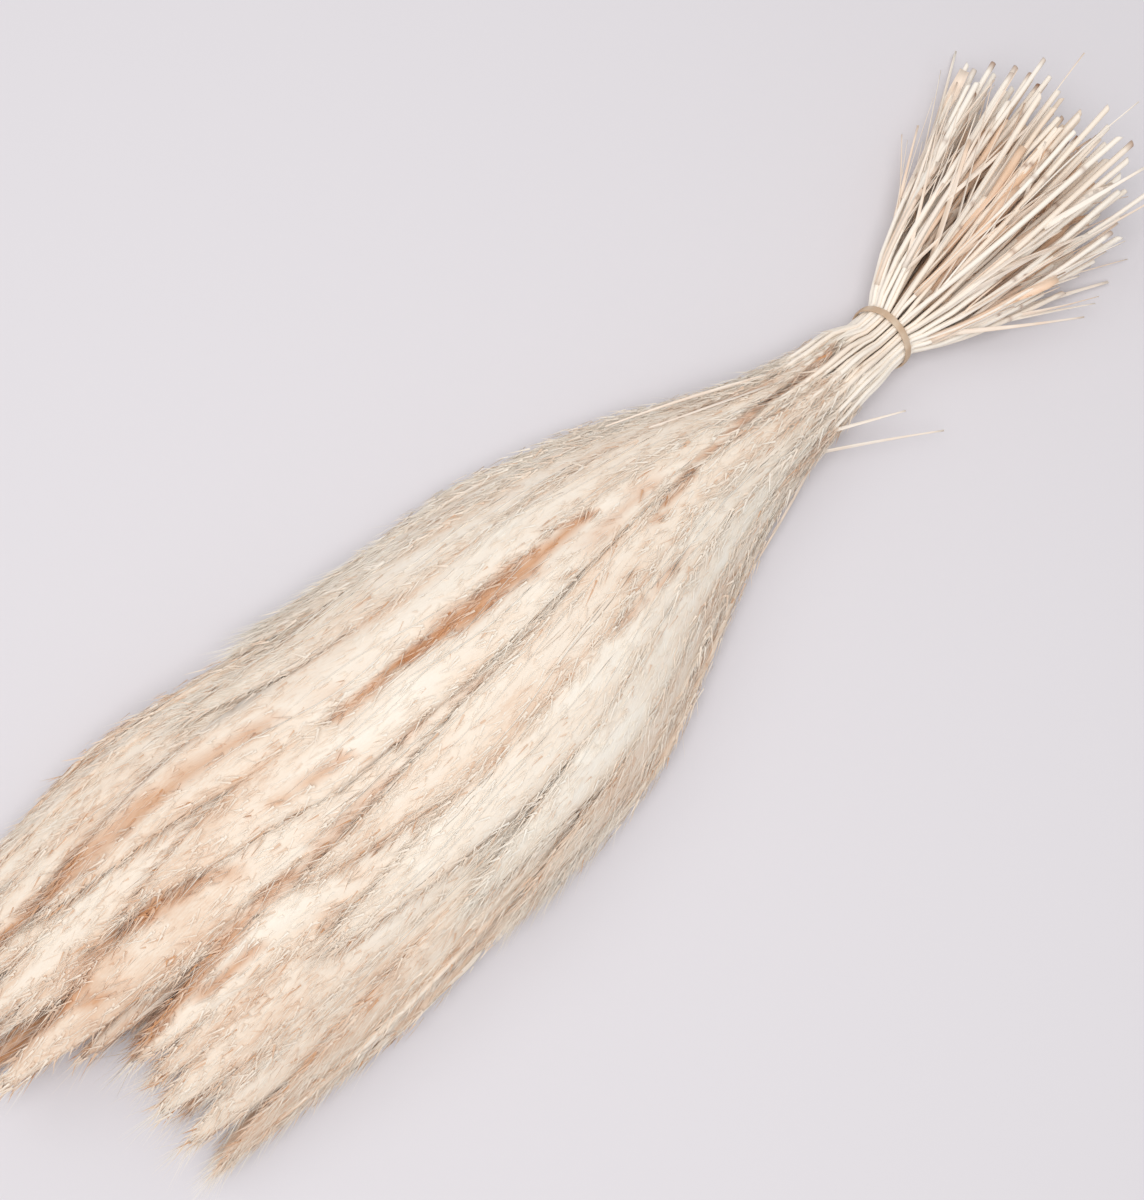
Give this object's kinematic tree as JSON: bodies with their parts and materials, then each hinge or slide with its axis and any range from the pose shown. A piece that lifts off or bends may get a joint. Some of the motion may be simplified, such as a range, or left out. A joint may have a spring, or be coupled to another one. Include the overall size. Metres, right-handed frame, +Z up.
{
  "type": "bundle of dried bent grass",
  "caption": "Bunch of dried, bleached bent grass lying down: straw stems tied near their cut ends by a flat rubber band, opening into one long feathery plume.",
  "frame": {"origin": "on the surface, in the middle of the flat spot under the tie", "axes": "+X along the bundle from the cut stem ends to the tips of the plume, +Y across it, +Z up from the surface it lies on"},
  "size_m": [0.7031, 0.2001, 0.0795],
  "materials": {
    "dried_grass": "matt bleached straw, cream to peach",
    "rubber_band": "matt tan rubber"
  },
  "bodies": {
    "root": {"grass_tuft_core": "dried_grass", "grass_tuft_inner_01": "dried_grass", "grass_tuft_inner_02": "dried_grass", "grass_tuft_inner_03": "dried_grass", "grass_tuft_inner_04": "dried_grass", "grass_tuft_inner_05": "dried_grass", "grass_tuft_inner_06": "dried_grass", "grass_tuft_middle_01": "dried_grass", "grass_tuft_middle_02": "dried_grass", "grass_tuft_middle_03": "dried_grass", "grass_tuft_middle_04": "dried_grass", "grass_tuft_middle_05": "dried_grass", "grass_tuft_middle_06": "dried_grass", "grass_tuft_middle_07": "dried_grass", "grass_tuft_middle_08": "dried_grass", "grass_tuft_middle_09": "dried_grass", "grass_tuft_middle_10": "dried_grass", "grass_tuft_middle_11": "dried_grass", "grass_tuft_middle_12": "dried_grass", "grass_tuft_outer_01": "dried_grass", "grass_tuft_outer_02": "dried_grass", "grass_tuft_outer_03": "dried_grass", "grass_tuft_outer_04": "dried_grass", "grass_tuft_outer_05": "dried_grass", "grass_tuft_outer_06": "dried_grass", "grass_tuft_outer_07": "dried_grass", "grass_tuft_outer_08": "dried_grass", "grass_tuft_outer_09": "dried_grass", "grass_tuft_outer_10": "dried_grass", "grass_tuft_outer_11": "dried_grass", "grass_tuft_outer_12": "dried_grass", "grass_tuft_outer_13": "dried_grass", "grass_tuft_outer_14": "dried_grass", "grass_tuft_outer_15": "dried_grass", "grass_tuft_outer_16": "dried_grass", "grass_tuft_outer_17": "dried_grass", "grass_tuft_outer_18": "dried_grass", "tie_band": "rubber_band"}
  },
  "joints": []
}
